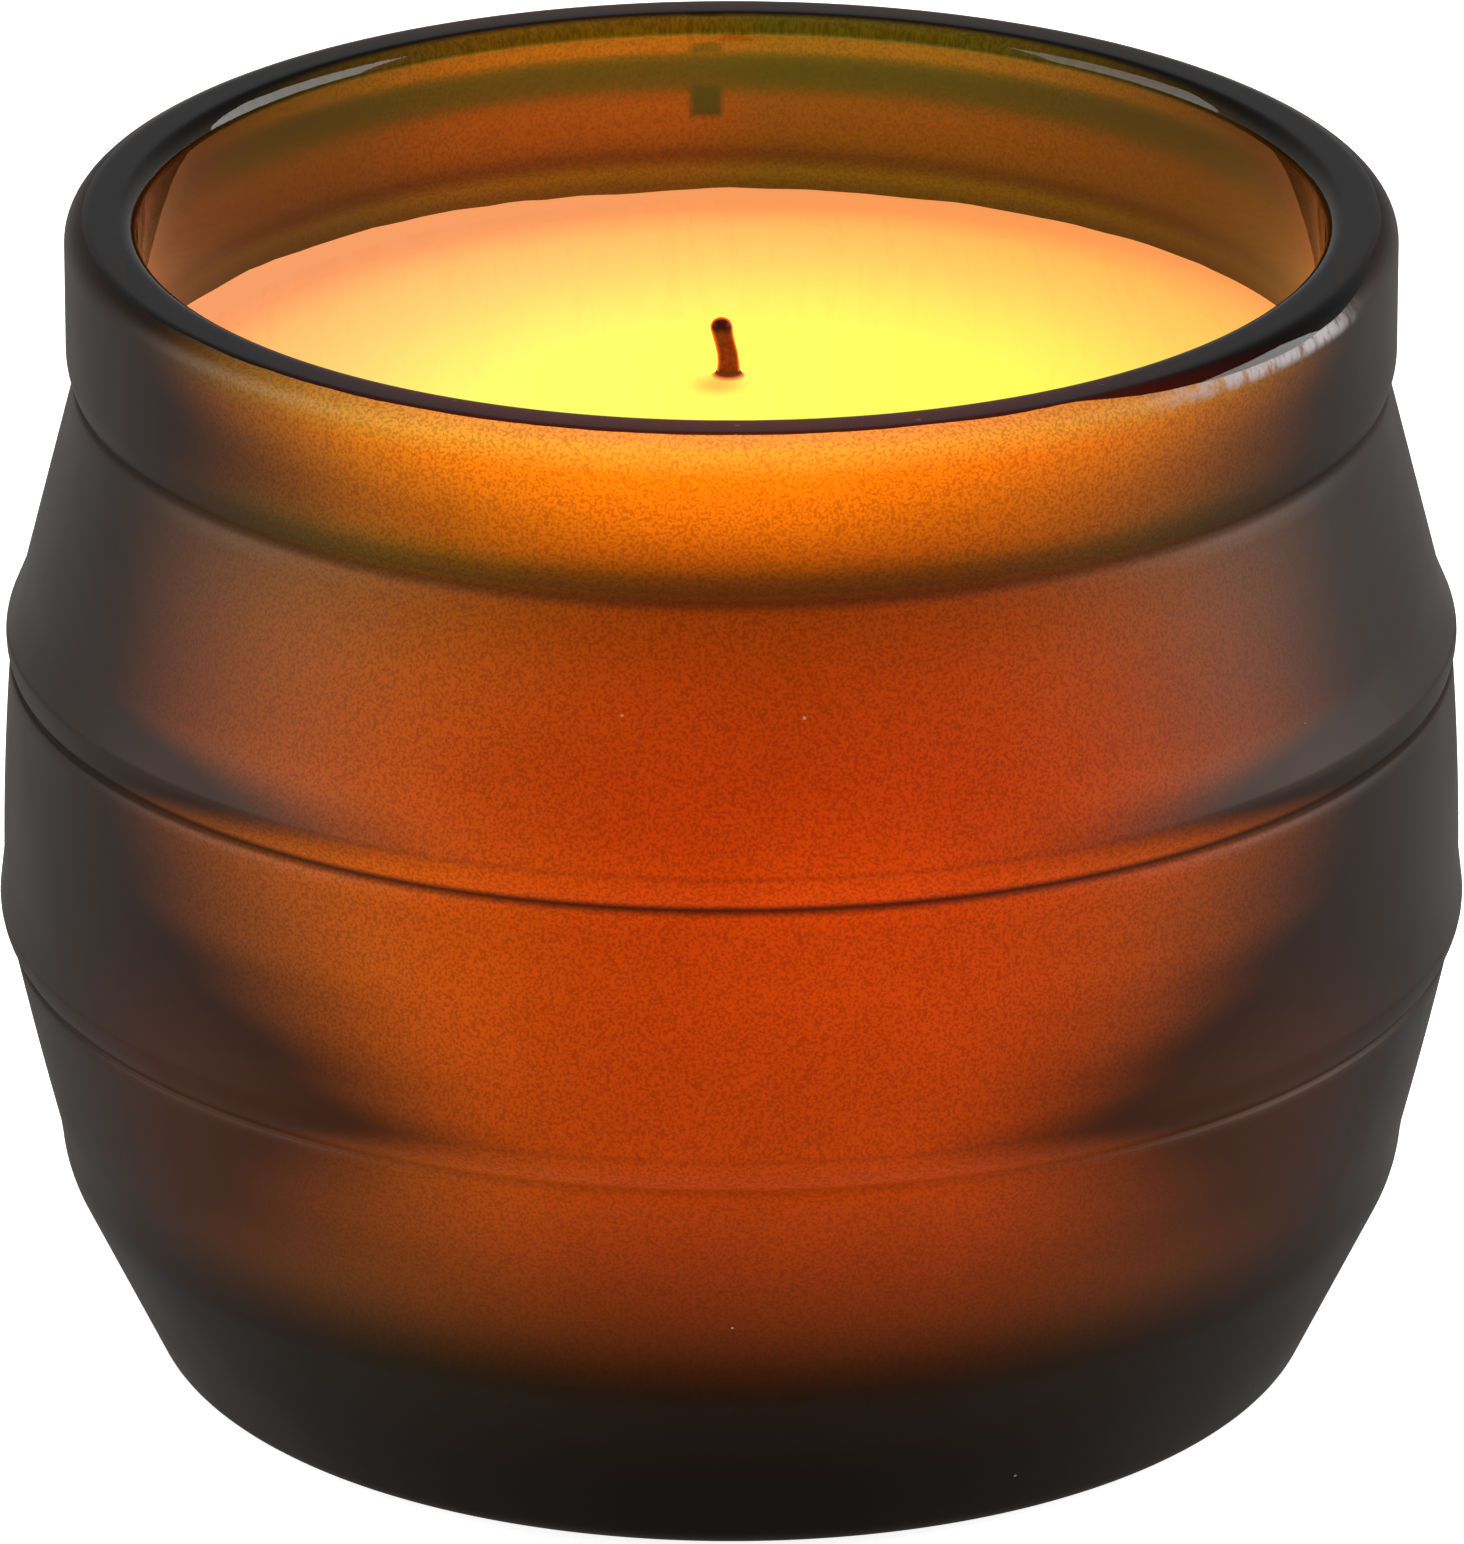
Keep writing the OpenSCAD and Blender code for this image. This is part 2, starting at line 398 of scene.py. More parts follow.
def coat_material(glass):
    """Frosted outside of the glass, with a painted glow that stands for the light the wax sends
    through it.
    """
    material, tree, shader, place = new_material("frosted_amber_glass")
    axes = add(tree, "ShaderNodeSeparateXYZ", {"Vector": place}).outputs
    height = calc(tree, "DIVIDE", axes["Z"], JAR_HEIGHT)
    side = calc(tree, "ARCTAN2", axes["X"], calc(tree, "MULTIPLY", axes["Y"], -1.0))
    off_front = calc(tree, "ABSOLUTE", side)
    # Under the lip the glow reaches further round on the right.
    wider = calc(tree, "MULTIPLY", side, fade(tree, height, 0.87, 0.92, 1.0, 0.89))
    off_glow = calc(tree, "MAXIMUM", wider, calc(tree, "MULTIPLY", side, -1.0))
    grain = use_group(tree, shared("Grain", grain_group), place, Scale=4600.0, Depth=0.36)
    cloud = add(tree, "ShaderNodeTexNoise", {"Vector": place, "Scale": 60.0, "Detail": 3.0})
    uneven = fade(tree, cloud.outputs["Fac"], 0.3, 0.7)
    # hollow is painted shade: it dims the glow in the creases and along the crests.
    hollow = crease_shade(tree, axes["Z"])
    # The coat's upper edge gets a painted highlight, which also takes the place of the glow there.
    rim_highlight = paint_rim_highlight(tree, place, axes["Z"], side)

    glow = outer_glow(tree, height, side)
    reach = glow_reach(tree, height, off_glow, off_front)
    strength = calc(tree, "MULTIPLY", calc(tree, "MULTIPLY", reach, hollow), grain["Light"])
    strength = calc(tree, "MULTIPLY", strength, fade(tree, uneven, 0.0, 1.0, 0.94, 1.05))
    strength = calc(tree, "MULTIPLY", strength, calc(tree, "SUBTRACT", 1.0, rim_highlight))
    outside = add(tree, "ShaderNodeVectorMath", {
        0: tinted(tree, glow, strength), 1: painted_faint_glow(tree, height, off_front)},
        operation="ADD").outputs["Vector"]
    inside = inner_glow(tree, axes, height, off_front, grain["Light"])
    behind = add(tree, "ShaderNodeNewGeometry").outputs["Backfacing"]
    tree.links.new(mixed(tree, behind, outside, inside), shader.inputs["Emission Color"])
    shader.inputs["Emission Strength"].default_value = 1.0

    # A painted highlight pales the frost at the rim, the dust pales it too, and the creases are
    # rougher than the bands.
    dust = use_group(tree, shared("Dust", dust_group), place, Scale=420.0, Size=0.05, Cover=0.03)
    body = mixed(tree, dust["Mask"], glass.coat_base, (0.20, 0.18, 0.17))
    tree.links.new(mixed(tree, rim_highlight, body, glass.rim_highlight), shader.inputs["Base Color"])
    rough = fade(tree, uneven, 0.0, 1.0, glass.coat_roughness - 0.03, glass.coat_roughness + 0.03)
    rough = calc(tree, "ADD", rough, fade(tree, hollow, 1.0, 0.4, 0.0, 0.35))
    tree.links.new(rough, shader.inputs["Roughness"])
    shader.inputs["IOR"].default_value = 1.5
    shader.inputs["Specular Tint"].default_value = (*glass.sheen, 1.0)
    bump = add(tree, "ShaderNodeBump", {
        "Strength": 0.25, "Distance": 0.02 * MM, "Height": grain["Height"]})
    tree.links.new(bump.outputs["Normal"], shader.inputs["Normal"])
    return material


def outer_glow(tree, height, side):
    """Colour of the painted glow at the front, from the heel up to the lip, yellower at the sides,
    with painted shade at the collar's lower edge.
    """
    deep = ramp(tree, height, heights(
        (6, (0.0, 0.0, 0.0, 1)),
        (11, (0.006, 0.002, 0.0, 1)),
        (14, (0.010, 0.003, 0.0, 1)),
        (16, (0.034, 0.006, 0.0, 1)),
        (18, (0.080, 0.010, 0.0, 1)),
        (22, (0.185, 0.018, 0.0, 1)),
        (26, (0.310, 0.027, 0.0, 1)),
        (30, (0.410, 0.037, 0.0, 1)),
        (36, (0.480, 0.040, 0.0, 1)),
        (44, (0.570, 0.046, 0.0, 1)),
        (48, (0.570, 0.045, 0.0, 1)),
        (51, (0.690, 0.056, 0.0, 1)),
        (54, (0.570, 0.042, 0.0, 1)),
        (58, (0.500, 0.036, 0.0, 1)),
        (64, (0.415, 0.038, 0.0, 1)),
        (69, (0.280, 0.035, 0.0, 1)),
        (70.4, (0.088, 0.019, 0.0, 1)),
        (71.5, (0.155, 0.034, 0.0, 1)),
        (73, (0.510, 0.088, 0.0, 1)),
        (75.5, (0.950, 0.180, 0.0, 1)),
        (78.5, (1.450, 0.275, 0.0, 1)),
        (80.2, (1.450, 0.450, 0.030, 1)),
        (81.0, (1.350, 0.380, 0.060, 1)),
    ))
    yellow = add(tree, "ShaderNodeVectorMath", {0: deep, 1: (0.96, 2.5, 1.0)},
                 operation="MULTIPLY").outputs["Vector"]
    off_axis = calc(tree, "ABSOLUTE", calc(tree, "SUBTRACT", side, 0.12))
    share_yellow = calc(tree, "MULTIPLY", fade(tree, off_axis, 0.15, 0.95),
                        fade(tree, height, 0.86, 0.92, 1.0, 0.25))
    return mixed(tree, share_yellow, deep, yellow)


def glow_reach(tree, height, off_glow, off_front):
    """How strong the painted glow is round the jar: full at the front, gone at the sides, weak
    behind.
    """
    # The narrower reach at the hoops' crests is painted shade.
    limit = ramp(tree, height, heights(
        (10, (0.42,) * 3 + (1,)),
        (18, (0.44,) * 3 + (1,)),
        (24, (0.36,) * 3 + (1,)),
        (30, (0.31,) * 3 + (1,)),
        (32.5, (0.24,) * 3 + (1,)),
        (35, (0.29,) * 3 + (1,)),
        (40, (0.37,) * 3 + (1,)),
        (44, (0.43,) * 3 + (1,)),
        (50, (0.46,) * 3 + (1,)),
        (52.4, (0.34,) * 3 + (1,)),
        (56, (0.48,) * 3 + (1,)),
        (68, (0.50,) * 3 + (1,)),
        (75, (0.43,) * 3 + (1,)),
        (80, (0.47,) * 3 + (1,)),
    ), "EASE")
    away = calc(tree, "DIVIDE", off_glow, calc(tree, "MULTIPLY", limit, math.pi / 2))
    plateau = fade(tree, height, 0.87, 0.93, 0.48, 0.08)
    front = add(tree, "ShaderNodeMapRange", {
        "Value": away, "From Min": plateau, "From Max": 1.46, "To Min": 1.0, "To Max": 0.0,
    }, interpolation_type="SMOOTHSTEP").outputs["Result"]
    back = fade(tree, off_front, 1.7, math.pi, 0.0, 0.42)
    return calc(tree, "ADD", front, back)


def painted_faint_glow(tree, height, off_front):
    """A faint painted glow, brown, that is left in the glass where the main glow ends."""
    low = fade(tree, height, 0.15, 0.26)
    high = fade(tree, height, 0.38, 0.52, 1.0, 0.30)
    level = calc(tree, "MULTIPLY", fade(tree, off_front, 1.2, 0.8), calc(tree, "MULTIPLY", low, high))
    return tinted(tree, (0.036, 0.008, 0.001), level)


def inner_glow(tree, axes, height, off_front, light):
    """The coat seen from behind, through the clear glass: painted light and shade in bands of olive
    and amber.
    """
    bands = ramp(tree, height, heights(
        (60, (0.12, 0.08, 0.0, 1)),
        (67.9, (0.25, 0.20, 0.0, 1)),
        (69.0, (0.42, 0.34, 0.0, 1)),
        (69.7, (0.30, 0.17, 0.0, 1)),
        (70.2, (0.26, 0.12, 0.0, 1)),
        (70.5, (0.31, 0.15, 0.0, 1)),
        (71.1, (0.50, 0.26, 0.0, 1)),
        (72.0, (0.66, 0.33, 0.0, 1)),
        (73.5, (0.77, 0.33, 0.0, 1)),
        (74.2, (0.69, 0.30, 0.0, 1)),
        (75.1, (0.28, 0.23, 0.03, 1)),
        (76.0, (0.20, 0.22, 0.06, 1)),
        (76.9, (0.23, 0.25, 0.08, 1)),
        (77.35, (0.48, 0.44, 0.15, 1)),
        (77.7, (0.98, 0.66, 0.17, 1)),
        (78.3, (1.00, 0.70, 0.19, 1)),
        (79.5, (0.62, 0.46, 0.14, 1)),
    ))
    # The painted light on the left of the back is more orange than on the right.
    band = calc(tree, "MULTIPLY", fade(tree, axes["X"], -30 * MM, -18 * MM),
                fade(tree, axes["X"], 4 * MM, -5 * MM))
    lean = mixed(tree, band, (0.92, 1.12, 1.0), (1.34, 1.10, 0.6))
    # Round the sides the painted light is olive.
    lean = mixed(tree, fade(tree, off_front, 2.15, 1.8), lean, (0.55, 0.95, 0.6))
    bands = mixed(tree, 1.0, bands, lean, "MULTIPLY")
    # The painted light is strongest at the front, weaker behind and weakest round the sides.
    at_back = fade(tree, off_front, 1.9, 2.9, 0.33, 1.0)
    at_front = fade(tree, off_front, 1.4, 0.6, 0.0, 1.9)
    low_share = calc(tree, "MAXIMUM", at_back, at_front)
    high_share = calc(tree, "MAXIMUM", fade(tree, off_front, 1.95, 2.85, 0.05, 1.0), at_front)
    share_high = fade(tree, height, 0.925, 0.95)
    level = calc(tree, "ADD", calc(tree, "MULTIPLY", high_share, share_high),
                 calc(tree, "MULTIPLY", low_share, calc(tree, "SUBTRACT", 1.0, share_high)))
    # The wick keeps the light off two small patches of the back.
    beside = calc(tree, "ABSOLUTE", calc(tree, "ADD", axes["X"], 1.85 * MM))
    lower = calc(tree, "MULTIPLY", fade(tree, axes["Z"], 72.6 * MM, 73.1 * MM),
                 fade(tree, axes["Z"], 75.3 * MM, 74.8 * MM))
    upper = calc(tree, "MULTIPLY", fade(tree, axes["Z"], 77.35 * MM, 77.6 * MM, 0.0, 0.6),
                 fade(tree, axes["Z"], 78.3 * MM, 78.05 * MM))
    patch = calc(tree, "MULTIPLY", fade(tree, beside, 1.5 * MM, 0.8 * MM),
                 calc(tree, "MULTIPLY", calc(tree, "GREATER_THAN", off_front, 2.5),
                      calc(tree, "ADD", lower, upper)))
    bands = mixed(tree, patch, bands, (0.15, 0.18, 0.04))
    return tinted(tree, bands, calc(tree, "MULTIPLY", level, light))


def crease_shade(tree, z):
    """Painted shade: 1 on the bands, lower in the creases under the hoops and along their crests."""
    shade = None
    for crease_z, width, depth in ((69.6, 0.8, 0.45), (49.92, 0.6, 0.88), (30.0, 0.6, 0.25),
                                   (52.2, 0.35, 0.22), (32.5, 0.4, 0.16)):
        gap = calc(tree, "ABSOLUTE", calc(tree, "SUBTRACT", z, crease_z * MM))
        one = fade(tree, gap, 0.0, width * MM, 1.0 - depth, 1.0)
        shade = one if shade is None else calc(tree, "MULTIPLY", shade, one)
    return shade


def paint_rim_highlight(tree, place, z, side):
    """A painted highlight: a pale streaky band on the coat's upper edge, at the front right, where
    the lights mirror in the frost.
    """
    along = calc(tree, "MULTIPLY", fade(tree, side, 0.62, 0.90), fade(tree, side, 1.22, 1.06))
    up = calc(tree, "MULTIPLY", fade(tree, z, 79.2 * MM, 79.9 * MM),
              fade(tree, z, 80.9 * MM, 80.7 * MM))
    hairs = add(tree, "ShaderNodeTexNoise", {"Vector": add(tree, "ShaderNodeMapping", {
        "Vector": place, "Rotation": (0.0, 0.5, 0.0), "Scale": (1.0, 1.0, 0.3)}).outputs["Vector"],
        "Scale": 1100.0, "Detail": 3.0, "Roughness": 0.6}).outputs["Fac"]
    return calc(tree, "MULTIPLY", calc(tree, "MULTIPLY", along, up),
                fade(tree, hairs, 0.36, 0.58, 0.15, 1.0))


def clear_material(glass):
    """Fire-polished inside and lip: dark in its depth, with smears and a little dust."""
    material, tree, shader, place = new_material("polished_amber_glass")
    dust = use_group(tree, shared("Dust", dust_group), place, Scale=330.0, Size=0.06, Cover=0.16)
    cloud = add(tree, "ShaderNodeTexNoise", {"Vector": place, "Scale": 45.0, "Detail": 4.0})
    tint = mixed(tree, fade(tree, cloud.outputs["Fac"], 0.3, 0.7), (0.97, 0.95, 0.90),
                 (0.92, 0.88, 0.80))
    # The round inside the lip is drawn in fine olive lines; over the far rim it is painted black as
    # shade.
    axes = add(tree, "ShaderNodeSeparateXYZ", {"Vector": place}).outputs
    lines = add(tree, "ShaderNodeTexNoise", {"Vector": add(tree, "ShaderNodeMapping", {
        "Vector": place, "Scale": (1.0, 1.0, 0.08)}).outputs["Vector"],
        "Scale": 1500.0, "Detail": 2.0}).outputs["Fac"]
    olive = tinted(tree, glass.lip_tint, fade(tree, lines, 0.35, 0.62, 0.82, 1.08))
    lip = calc(tree, "MULTIPLY", fade(tree, axes["Y"], -30 * MM, -15 * MM),
               fade(tree, axes["Z"], JAR_HEIGHT - glass.lip_in_r - 0.08 * MM,
                    JAR_HEIGHT - glass.lip_in_r + 0.02 * MM))
    far = calc(tree, "MULTIPLY", fade(tree, axes["Y"], -30 * MM, 5 * MM),
               fade(tree, axes["Z"], JAR_HEIGHT - 0.30 * MM, JAR_HEIGHT - 0.05 * MM))
    tint = mixed(tree, far, mixed(tree, lip, tint, olive), (0.002, 0.002, 0.002))
    tree.links.new(tint, shader.inputs["Base Color"])
    smooth = fade(tree, cloud.outputs["Fac"], 0.3, 0.75, 0.02, 0.05)
    rough = calc(tree, "MAXIMUM", smooth, calc(tree, "MULTIPLY", dust["Mask"], 0.5))
    tree.links.new(rough, shader.inputs["Roughness"])
    shader.inputs["IOR"].default_value = 1.5
    shader.inputs["Transmission Weight"].default_value = 1.0
    ripple = add(tree, "ShaderNodeTexNoise", {"Vector": place, "Scale": 90.0, "Detail": 1.0})
    bump = add(tree, "ShaderNodeBump", {
        "Strength": 0.06, "Distance": 0.2 * MM, "Height": ripple.outputs["Fac"]})
    tree.links.new(bump.outputs["Normal"], shader.inputs["Normal"])
    depth = add(tree, "ShaderNodeVolumeAbsorption", {
        "Color": (*glass.clear_tint, 1.0), "Density": glass.density})
    tree.links.new(depth.outputs["Volume"], tree.nodes["Material Output"].inputs["Volume"])
    return material


def wax_material(wax):
    """Soft wax that glows from its heart."""
    material, tree, shader, place = new_material("glowing_wax")
    # The heart lies towards the front; the glow fades as an oval about it.
    offset = add(tree, "ShaderNodeMapping", {
        "Vector": place, "Location": (-3 / 44, 8 / 47, 0.0),
        "Scale": (1 / (44 * MM), 1 / (47 * MM), 0.0)})
    out = add(tree, "ShaderNodeVectorMath", {0: offset.outputs["Vector"]}, operation="LENGTH")
    cloud = add(tree, "ShaderNodeTexNoise", {"Vector": place, "Scale": 24.0, "Detail": 2.0})
    wander = calc(tree, "MULTIPLY", calc(tree, "SUBTRACT", cloud.outputs["Fac"], 0.5), 0.05)
    far = calc(tree, "ADD", out.outputs["Value"], wander)
    glow = ramp(tree, far, [
        (0.0, (*wax.heart, 1)),
        (0.42, (*wax.heart, 1)),
        (0.56, (1.04, 0.84, 0.14, 1)),
        (0.72, (*wax.ring, 1)),
        (0.86, (1.02, 0.50, 0.12, 1)),
        (0.96, (*wax.edge, 1)),
        (1.0, (0.92, 0.32, 0.10, 1)),
    ])
    axes = add(tree, "ShaderNodeSeparateXYZ", {"Vector": place}).outputs
    cool = mixed(tree, fade(tree, axes["X"], -34 * MM, 26 * MM), (1.0, 1.05, 1.30), (1.0, 0.99, 0.85))
    glow = mixed(tree, 1.0, glow, cool, "MULTIPLY")
    # The wick casts a soft painted shadow in front of its foot.
    wick_shadow = add(tree, "ShaderNodeMapping", {
        "Vector": place, "Location": (0.9 / 2.7, -1.2 / 2.9, 0.0),
        "Scale": (1 / (2.7 * MM), 1 / (2.9 * MM), 0.0)})
    near = add(tree, "ShaderNodeVectorMath", {0: wick_shadow.outputs["Vector"]}, operation="LENGTH")
    shade = fade(tree, near.outputs["Value"], 1.0, 0.1, 0.0, 0.85)
    glow = mixed(tree, shade, glow, (1.0, 0.50, 0.07))
    foot = add(tree, "ShaderNodeMapping", {
        "Vector": place, "Location": (0.2 * MM, -WICK_Y, 0.0), "Scale": (1.0, 1.0, 0.0)})
    close = add(tree, "ShaderNodeVectorMath", {0: foot.outputs["Vector"]}, operation="LENGTH")
    glow = mixed(tree, fade(tree, close.outputs["Value"], WICK_R + 0.42 * MM, WICK_R + 0.16 * MM),
                 glow, (0.95, 0.18, 0.03))
    glow = mixed(tree, fade(tree, close.outputs["Value"], WICK_R + 0.17 * MM, WICK_R + 0.06 * MM),
                 glow, (0.11, 0.012, 0.003))
    # Down the sides the glow dies away.
    deep = fade(tree, axes["Z"], WAX_HIGH.z - 2 * MM, WAX_HIGH.z - 30 * MM, 1.0, 0.15)
    tree.links.new(tinted(tree, glow, deep), shader.inputs["Emission Color"])
    shader.inputs["Emission Strength"].default_value = 1.0
    fine = use_group(tree, shared("Grain", grain_group), place, Scale=1300.0, Depth=0.05)
    tree.links.new(mixed(tree, cloud.outputs["Fac"], wax.body,
                         tuple(part * 0.8 for part in wax.body)), shader.inputs["Base Color"])
    tree.links.new(fade(tree, cloud.outputs["Fac"], 0.3, 0.7, 0.55, 0.65),
                   shader.inputs["Roughness"])
    shader.inputs["IOR"].default_value = 1.44
    shader.inputs["Specular IOR Level"].default_value = 0.15
    bump = add(tree, "ShaderNodeBump", {
        "Strength": 0.05, "Distance": 0.05 * MM, "Height": fine["Height"]})
    tree.links.new(bump.outputs["Normal"], shader.inputs["Normal"])
    return material


def wick_material(wick):
    """Waxed cotton, burnt at the tip, with a painted glow."""
    material, tree, shader, place = new_material("waxed_cotton")
    axes = add(tree, "ShaderNodeSeparateXYZ", {"Vector": place}).outputs
    burn = fade(tree, axes["Z"], WICK_HIGH.z - 1.3 * MM, WICK_HIGH.z - 0.4 * MM)
    foot = fade(tree, axes["Z"], WAX_HIGH.z + 0.35 * MM, WAX_HIGH.z - 0.3 * MM)
    dark = calc(tree, "MAXIMUM", burn, calc(tree, "MULTIPLY", foot, 0.75))
    fibre = add(tree, "ShaderNodeTexNoise", {"Vector": place, "Scale": 2500.0, "Detail": 4.0})
    cotton = mixed(tree, fade(tree, fibre.outputs["Fac"], 0.35, 0.65), wick.cotton,
                   tuple(part * 0.6 for part in wick.cotton))
    tree.links.new(mixed(tree, dark, tinted(tree, cotton, 0.1), wick.burnt),
                   shader.inputs["Base Color"])
    # Painted glow: the cotton colour shines as emission, dimmer where the wick is dark.
    warm = tinted(tree, cotton, calc(tree, "SUBTRACT", 1.0, calc(tree, "MULTIPLY", dark, 0.86)))
    edge_on = add(tree, "ShaderNodeLayerWeight", {"Blend": 0.5}).outputs["Facing"]
    warm = mixed(tree, fade(tree, edge_on, 0.30, 0.62), warm, wick.rim)
    tree.links.new(warm, shader.inputs["Emission Color"])
    shader.inputs["Emission Strength"].default_value = 1.0
    tree.links.new(fade(tree, fibre.outputs["Fac"], 0.3, 0.7, 0.22, 0.40),
                   shader.inputs["Roughness"])
    shader.inputs["IOR"].default_value = 1.25
    bump = add(tree, "ShaderNodeBump", {
        "Strength": 0.3, "Distance": 0.03 * MM, "Height": fibre.outputs["Fac"]})
    tree.links.new(bump.outputs["Normal"], shader.inputs["Normal"])
    return material


def plain_material(name, light, dark, scale, roughness, metallic=0.0, depth=0.02):
    """A hidden part's finish: two tones, a grain and a fine relief."""
    material, tree, shader, place = new_material(name)
    cloud = add(tree, "ShaderNodeTexNoise", {"Vector": place, "Scale": scale, "Detail": 5.0})
    tone = fade(tree, cloud.outputs["Fac"], 0.32, 0.68)
    grain = use_group(tree, shared("Grain", grain_group), place, Scale=scale * 3, Depth=0.25)
    base = tinted(tree, mixed(tree, tone, light, dark), grain["Light"])
    tree.links.new(base, shader.inputs["Base Color"])
    tree.links.new(fade(tree, tone, 0.0, 1.0, roughness - 0.06, roughness + 0.08),
                   shader.inputs["Roughness"])
    shader.inputs["Metallic"].default_value = metallic
    bump = add(tree, "ShaderNodeBump", {
        "Strength": 0.4, "Distance": depth * MM, "Height": grain["Height"]})
    tree.links.new(bump.outputs["Normal"], shader.inputs["Normal"])
    return material


# ---------------------------------------------------------------- pieces

class Inside:
    """The inner face of the glass: an upright mouth, a cone, a barrel and a round corner."""

    def __init__(self, glass):
        self.mouth_r = glass.rim_r - glass.rim_wall
        self.upright_z = JAR_HEIGHT - glass.lip_in_r
        self.shoulder_z = self.upright_z - glass.upright
        self.flare = math.radians(8.7)
        self.taper = math.radians(11.5)
        self.barrel_r = 74 * MM
        self.corner_r = 14 * MM
        self.barrel_top = (self.cone_r(52 * MM), 52 * MM)
        self.barrel = (self.barrel_top[0] - self.barrel_r * math.cos(self.flare),
                       self.barrel_top[1] - self.barrel_r * math.sin(self.flare))
        self.low_end = (self.barrel[0] + self.barrel_r * math.cos(self.taper),
                        self.barrel[1] - self.barrel_r * math.sin(self.taper))
        corner_z = FLOOR_Z + self.corner_r
        self.corner = (self.low_end[0] - (self.low_end[1] - corner_z) * math.tan(self.taper)
                       - self.corner_r / math.cos(self.taper), corner_z)

    def cone_r(self, z):
        """Radius of the cone under the mouth, at a height."""
        return self.mouth_r + (self.shoulder_z - z) * math.tan(self.flare)

    def draw(self, pen):
        """Draws the inner face from the floor's centre up to the lip."""
        pen.line(self.corner[0], FLOOR_Z, 12)
        pen.arc(*self.corner, math.pi / 2 - self.taper, 14)
        pen.line(*self.low_end, 2)
        pen.arc(*self.barrel, self.taper + self.flare, 14)
        pen.line(self.mouth_r, self.shoulder_z, 14)
        pen.line(self.mouth_r, self.upright_z, 6)


def build_glass(glass):
    """The glass: polished inside and lip, frosted outside, one closed solid."""
    mesh = bmesh.new()
    segments = 360
    inside = Inside(glass)
    quarter = math.pi / 2
    lip = (glass.rim_r - glass.lip_out_r, JAR_HEIGHT - glass.lip_out_r)
    pen = Outline(mesh, 0, FLOOR_Z)
    inside.draw(pen)
    pen.arc(inside.mouth_r + glass.lip_in_r, inside.upright_z, -quarter, 14)
    pen.line(lip[0], JAR_HEIGHT, 4)
    pen.arc(*lip, glass.coat_angle - quarter, 6)
    edge = pen.tip.co.copy()
    for face in pen.turn(segments):
        face.material_index = 0

    pen = Outline(mesh, edge.x, edge.z)
    pen.arc(*lip, -glass.coat_angle, 12)
    outer_path(pen, glass)
    for face in pen.turn(segments):
        face.material_index = 1
    bmesh.ops.remove_doubles(mesh, verts=mesh.verts, dist=0.002 * MM)
    ruffle_coat(mesh, lip, glass)
    return finish_piece(
        mesh, "glass_jar_blown", [clear_material(glass), coat_material(glass)],
        "frosted_glass", "glass_jar",
    )


def outer_path(pen, glass):
    """Draws the outside of the glass from the lip down to the middle of the base."""
    crease = JAR_HEIGHT - glass.collar_drop
    upper = crease - glass.hoop_pitch
    lower = upper - glass.hoop_pitch
    foot = lower - glass.hoop_pitch
    groove = 0.3 * MM
    under_r = 3.6 * MM

    # Collar and the widening cone.
    turn = math.radians(32)
    collar_r = 4.5 * MM
    pen.line(glass.rim_r, crease + collar_r * math.sin(turn), 5)
    pen.arc(glass.rim_r - collar_r, crease + collar_r * math.sin(turn), -turn, 8)
    pen.line(glass.rim_r - 0.5 * MM, crease - groove, 2)
    pen.line(glass.upper_hoop_r - 1.1 * MM, upper + 4.9 * MM, 10)

    hoop(pen, glass.upper_hoop_r, upper + 1.8 * MM, 2.4 * MM, 20, 1.8 * MM, under_r)
    pen.line(glass.upper_hoop_r - 0.22 * MM, upper - groove, 2)
    pen.bow(BELLY_R - 0.31 * MM, lower + 5.4 * MM, 0.12 * MM, 14)
    hoop(pen, BELLY_R, lower + 2.6 * MM, 3 * MM, 8, 2.6 * MM, under_r)
    pen.line(BELLY_R - 0.83 * MM, lower - groove, 2)
    pen.bow(glass.foot_hoop_r + 0.2 * MM, foot + 6.9 * MM, 0.06 * MM, 12)

    # Foot hoop, foot cone, heel, standing ring and punt.
    round_r = 8.3 * MM
    slope = math.radians(25.6)
    crest_z = foot + 6 * MM
    start = math.radians(-4)
    centre_x = glass.foot_hoop_r - round_r
    pen.line(centre_x + round_r * math.cos(start), crest_z + round_r * math.sin(start), 1)
    pen.arc(centre_x, crest_z, -(slope + start), 8)
    heel_r = 2.4 * MM
    top = pen.tip.co
    heel_x = top.x - (heel_r + (top.z - heel_r) * math.sin(slope)) / math.cos(slope)
    pen.line(heel_x + heel_r * math.cos(slope), heel_r - heel_r * math.sin(slope), 8)
    pen.arc(heel_x, heel_r, -(math.pi / 2 - slope), 10)
    ring_r = heel_x - glass.stand_w
    pen.line(ring_r, 0, 4)
    punt_r = (ring_r ** 2 + glass.punt ** 2) / (2 * glass.punt)
    pen.arc(0, glass.punt - punt_r, math.asin(ring_r / punt_r), 12)


def hoop(pen, crest_r, crest_z, over_r, flank, drop, under_r):
    """Draws a hoop: its flank, its round over the crest and its underside to the crease."""
    rise = math.radians(flank)
    pen.line(crest_r - over_r + over_r * math.cos(rise), crest_z + over_r * math.sin(rise), 1)
    pen.arc(crest_r - over_r, crest_z, -rise, 5)
    start = math.radians(8)
    end = math.asin(drop / under_r)
    pen.line(crest_r - under_r + under_r * math.cos(start), crest_z - under_r * math.sin(start), 1)
    pen.arc(crest_r - under_r, crest_z, -(end - start), 6)


